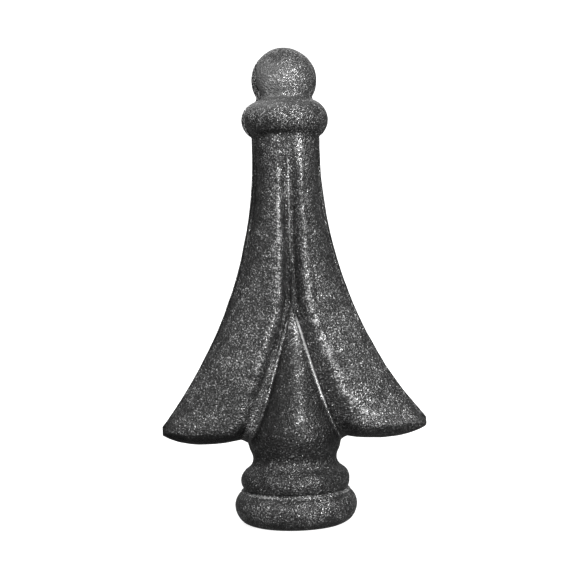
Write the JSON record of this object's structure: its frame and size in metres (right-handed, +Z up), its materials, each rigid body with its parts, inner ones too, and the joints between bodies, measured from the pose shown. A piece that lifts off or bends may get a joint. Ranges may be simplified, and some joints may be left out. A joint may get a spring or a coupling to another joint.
{
  "type": "fence finial",
  "caption": "Cast or forged iron fence finial: a round moulded foot under a beaded bud, swept leaves spreading to blunt tips, and a ringed neck with a ball on top.",
  "frame": {"origin": "centre of the round foot's flat underside", "axes": "+Z up the turned axis to the ball, +X along the spread of the leaves, -Y towards the viewer"},
  "size_m": [0.067, 0.0308, 0.1199],
  "materials": {
    "black_iron": "rough scaled black iron, dull with fine bright grain on its raised lines"
  },
  "bodies": {
    "root": {"finial": "black_iron"}
  },
  "joints": []
}
